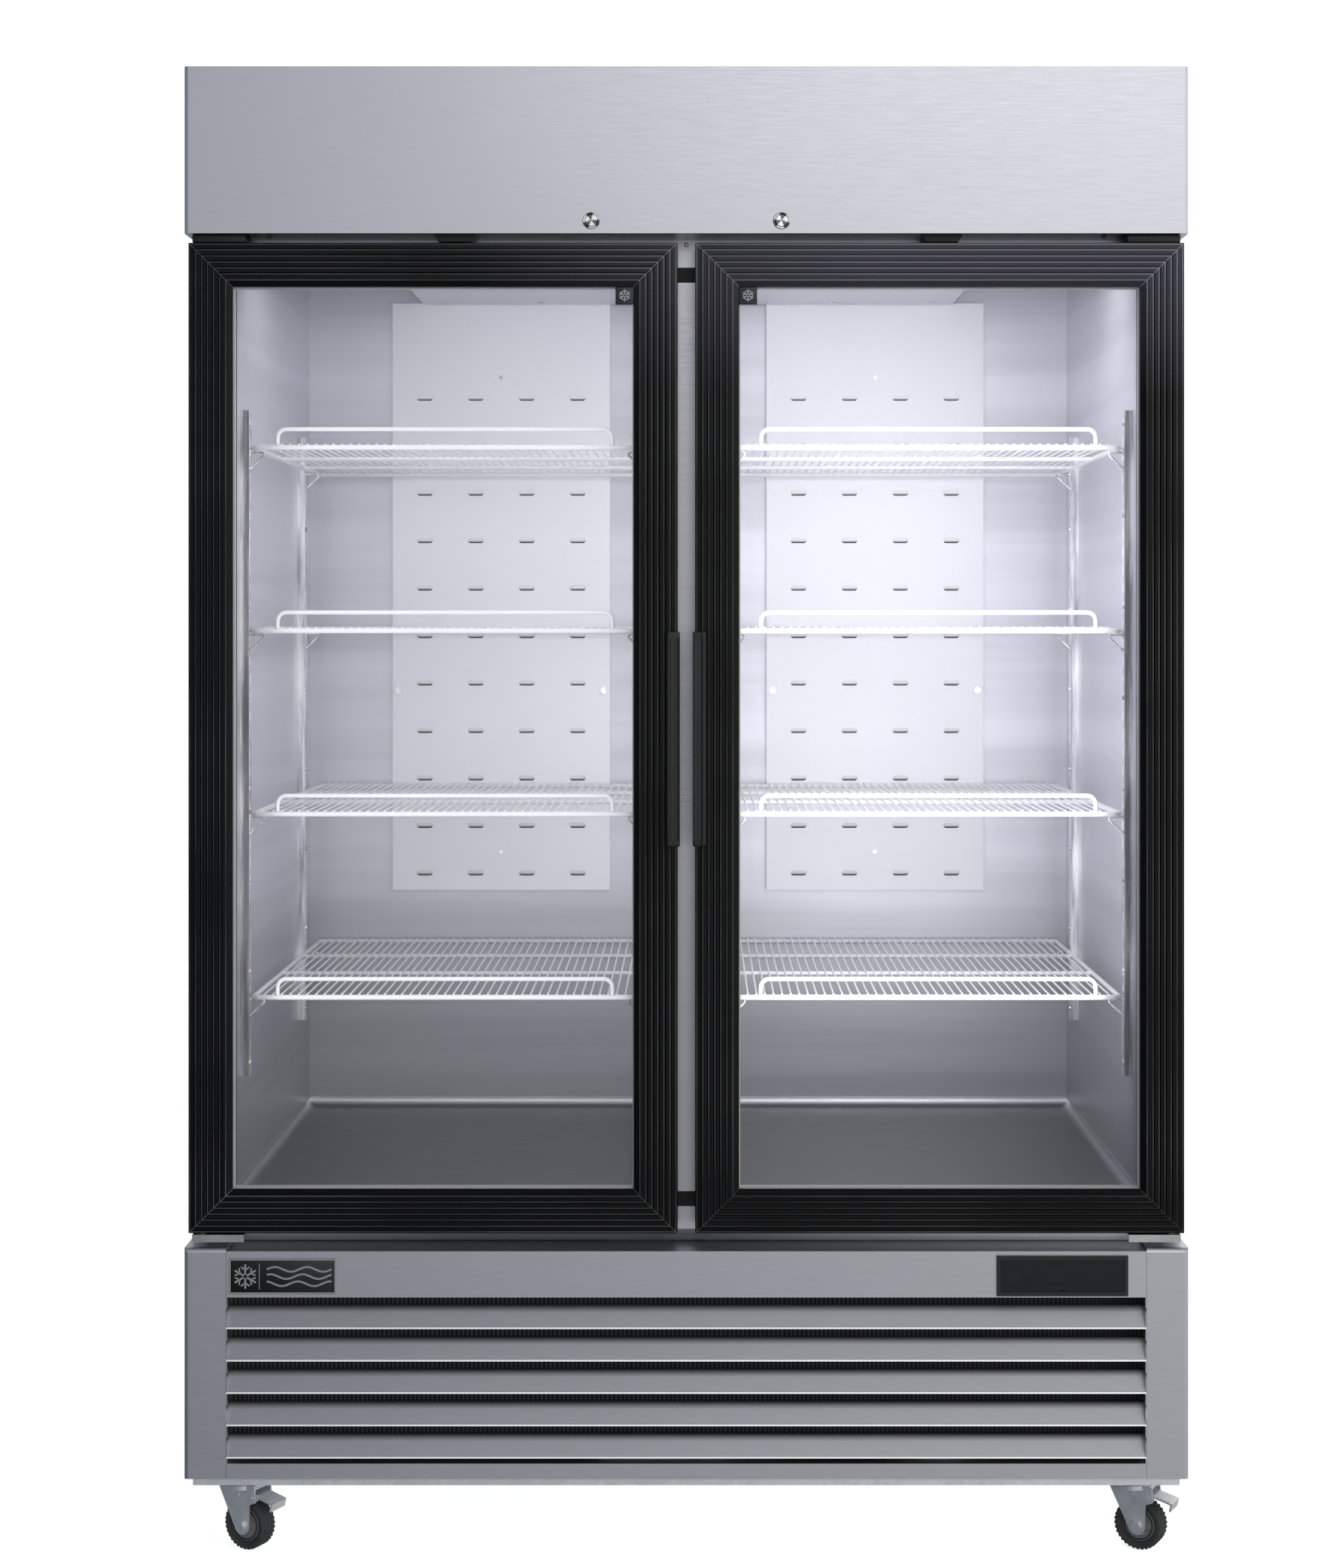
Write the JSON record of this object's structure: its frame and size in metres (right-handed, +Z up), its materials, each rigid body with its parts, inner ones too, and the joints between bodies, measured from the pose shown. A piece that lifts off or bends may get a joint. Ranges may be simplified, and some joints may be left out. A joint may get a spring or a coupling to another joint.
{
  "type": "glass door merchandiser",
  "caption": "Upright refrigerated merchandiser with hinged glass doors, wire shelves, louvred base grille and swivel casters.",
  "frame": {"origin": "on the floor under the middle of the cabinet's bounding box", "axes": "+X to the right seen from the doors, +Y to the back, +Z up; the doors face -Y"},
  "size_m": [1.372, 0.812, 2.047],
  "materials": {
    "cabinet_steel": "horizontally brushed",
    "liner_steel": "vertically brushed",
    "galvanised_steel": "galvanised, matt",
    "foam": "rigid foam, hidden",
    "black_trim": "matt",
    "standard_steel": "bright rolled",
    "shelf_wire": "white epoxy coated",
    "duct_cover": "smooth painted",
    "coil_fins": "mill",
    "fan_plastic": "matt",
    "lamp_cover": "diffuser",
    "compressor_paint": "satin",
    "lock_chrome": "polished",
    "bracket_steel": "plated",
    "door_trim": "satin, ribbed",
    "door_glass": "clear",
    "gasket_rubber": "soft",
    "handle_plastic": "satin",
    "badge_plastic": "gloss",
    "control_plastic": "satin",
    "control_window": "smoked",
    "rocker_plastic": "gloss",
    "caster_zinc": "zinc plated",
    "caster_tyre": "grey rubber"
  },
  "bodies": {
    "cabinet": {"outer_wrapper": "cabinet_steel", "back_panel": "galvanised_steel", "foam_insulation": "foam", "inner_liner": "liner_steel", "floor_pan": "liner_steel", "face_frame": "cabinet_steel", "breaker_strip": "black_trim", "pilasters": "standard_steel", "shelf_clips": "standard_steel", "shelf_left_1": "shelf_wire", "shelf_right_1": "shelf_wire", "shelf_left_2": "shelf_wire", "shelf_right_2": "shelf_wire", "shelf_left_3": "shelf_wire", "shelf_right_3": "shelf_wire", "shelf_left_4": "shelf_wire", "shelf_right_4": "shelf_wire", "air_ducts": "duct_cover", "panel_screws": "standard_steel", "evaporator_housing": "liner_steel", "evaporator_coil": "coil_fins", "led_lamps": "lamp_cover", "condenser": "coil_fins", "compressor": "compressor_paint", "header_panel": "cabinet_steel", "lock_housings": "lock_chrome", "hinge_brackets": "bracket_steel", "door_switches": "black_trim", "louver_panel": "cabinet_steel", "base_covers": "cabinet_steel", "nameplate": "badge_plastic", "controller_bezel": "control_plastic", "base_pan": "galvanised_steel", "rear_grille": "galvanised_steel", "cord_gland": "black_trim", "caster_plates": "caster_zinc"},
    "evaporator_fan": {"evaporator_fan": "fan_plastic"},
    "condenser_fan": {"condenser_fan": "fan_plastic"},
    "lock_cam_left": {"lock_cam_left": "lock_chrome"},
    "lock_cam_right": {"lock_cam_right": "lock_chrome"},
    "controller_cover": {"controller_cover": "control_window"},
    "power_switch": {"power_switch": "rocker_plastic"},
    "door_left": {"door_frame_left": "door_trim", "glass_unit_left": "door_glass", "door_gasket_left": "gasket_rubber", "door_handle_left": "handle_plastic"},
    "door_right": {"door_frame_right": "door_trim", "glass_unit_right": "door_glass", "door_gasket_right": "gasket_rubber", "door_handle_right": "handle_plastic"},
    "caster_front_left": {"caster_fork_front_left": "caster_zinc"},
    "wheel_front_left": {"caster_wheel_front_left": "caster_tyre"},
    "caster_front_right": {"caster_fork_front_right": "caster_zinc"},
    "wheel_front_right": {"caster_wheel_front_right": "caster_tyre"},
    "caster_rear_left": {"caster_fork_rear_left": "caster_zinc"},
    "wheel_rear_left": {"caster_wheel_rear_left": "caster_tyre"},
    "caster_rear_right": {"caster_fork_rear_right": "caster_zinc"},
    "wheel_rear_right": {"caster_wheel_rear_right": "caster_tyre"},
    "pedal_left": {"brake_pedal_front_left": "caster_zinc"},
    "pedal_right": {"brake_pedal_front_right": "caster_zinc"}
  },
  "joints": [
    {"name": "door_left_hinge", "type": "hinge", "parent": "cabinet", "child": "door_left", "pos_m": [-0.665, -0.371, 1.1], "axis": [0, 0, -1], "range_deg": [0, 110], "stiffness_Nm_per_rad": 2},
    {"name": "door_right_hinge", "type": "hinge", "parent": "cabinet", "child": "door_right", "pos_m": [0.665, -0.371, 1.1], "axis": [0, 0, 1], "range_deg": [0, 110], "stiffness_Nm_per_rad": 2},
    {"name": "lock_left_turn", "type": "hinge", "parent": "cabinet", "child": "lock_cam_left", "pos_m": [-0.13, -0.385, 1.836], "axis": [0, -1, 0], "range_deg": [0, 90]},
    {"name": "lock_right_turn", "type": "hinge", "parent": "cabinet", "child": "lock_cam_right", "pos_m": [0.13, -0.385, 1.836], "axis": [0, 1, 0], "range_deg": [0, 90]},
    {"name": "controller_cover_flip", "type": "hinge", "parent": "cabinet", "child": "controller_cover", "pos_m": [0.513, -0.3988, 0.4162], "axis": [-1, 0, 0], "range_deg": [0, 95]},
    {"name": "power_switch_rock", "type": "hinge", "parent": "cabinet", "child": "power_switch", "pos_m": [0.447, -0.3895, 0.396], "axis": [-1, 0, 0], "range_deg": [0, 16]},
    {"name": "evaporator_fan_spin", "type": "hinge", "parent": "cabinet", "child": "evaporator_fan", "pos_m": [0, -0.07, 1.84], "axis": [0, 0, 1], "continuous": true},
    {"name": "condenser_fan_spin", "type": "hinge", "parent": "cabinet", "child": "condenser_fan", "pos_m": [-0.33, -0.165, 0.265], "axis": [0, 1, 0], "continuous": true},
    {"name": "caster_front_left_swivel", "type": "hinge", "parent": "cabinet", "child": "caster_front_left", "pos_m": [-0.62, -0.318, 0.09], "axis": [0, 0, 1], "continuous": true},
    {"name": "caster_front_right_swivel", "type": "hinge", "parent": "cabinet", "child": "caster_front_right", "pos_m": [0.62, -0.318, 0.09], "axis": [0, 0, 1], "continuous": true},
    {"name": "caster_rear_left_swivel", "type": "hinge", "parent": "cabinet", "child": "caster_rear_left", "pos_m": [-0.62, 0.326, 0.09], "axis": [0, 0, 1], "continuous": true},
    {"name": "caster_rear_right_swivel", "type": "hinge", "parent": "cabinet", "child": "caster_rear_right", "pos_m": [0.62, 0.326, 0.09], "axis": [0, 0, 1], "continuous": true},
    {"name": "wheel_front_left_spin", "type": "hinge", "parent": "caster_front_left", "child": "wheel_front_left", "pos_m": [-0.60764, -0.32457, 0.035], "axis": [0.4695, 0.8829, 0], "continuous": true},
    {"name": "wheel_front_right_spin", "type": "hinge", "parent": "caster_front_right", "child": "wheel_front_right", "pos_m": [0.63236, -0.32457, 0.035], "axis": [0.4695, 0.8829, 0], "continuous": true},
    {"name": "wheel_rear_left_spin", "type": "hinge", "parent": "caster_rear_left", "child": "wheel_rear_left", "pos_m": [-0.60764, 0.31943, 0.035], "axis": [0.4695, 0.8829, 0], "continuous": true},
    {"name": "wheel_rear_right_spin", "type": "hinge", "parent": "caster_rear_right", "child": "wheel_rear_right", "pos_m": [0.63236, 0.31943, 0.035], "axis": [0.4695, 0.8829, 0], "continuous": true},
    {"name": "pedal_left_press", "type": "hinge", "parent": "caster_front_left", "child": "pedal_left", "pos_m": [-0.59351, -0.33208, 0.076], "axis": [0.4695, 0.8829, 0], "range_deg": [0, 12]},
    {"name": "pedal_right_press", "type": "hinge", "parent": "caster_front_right", "child": "pedal_right", "pos_m": [0.64649, -0.33208, 0.076], "axis": [0.4695, 0.8829, 0], "range_deg": [0, 12]}
  ]
}
